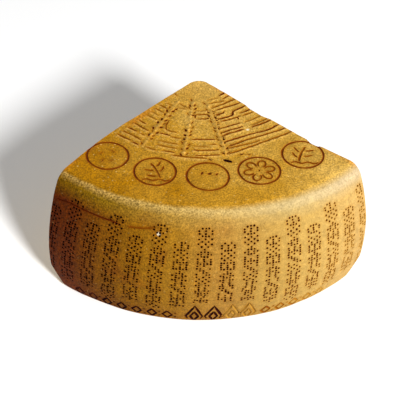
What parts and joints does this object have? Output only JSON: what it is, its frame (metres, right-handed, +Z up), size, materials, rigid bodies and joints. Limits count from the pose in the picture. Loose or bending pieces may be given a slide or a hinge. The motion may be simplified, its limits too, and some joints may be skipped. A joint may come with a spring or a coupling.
{
  "type": "aged hard cheese chunk",
  "caption": "Upper half of a quarter wheel of aged hard cheese, lying with its moulded round face up, its bulging dotted rind in front and two straight cut faces behind.",
  "frame": {"origin": "middle of the bounding box, on the flat lower cut face that the chunk rests on", "axes": "+Z up out of the moulded round face, +X along the width of the rind to the right seen from the rind side, the rind towards -Y and the tip towards +Y"},
  "size_m": [0.2932, 0.2028, 0.129],
  "materials": {
    "rind": "aged rind, dry and fine-grained, with a faint waxy sheen"
  },
  "bodies": {
    "root": {"cheese": "rind"}
  },
  "joints": []
}
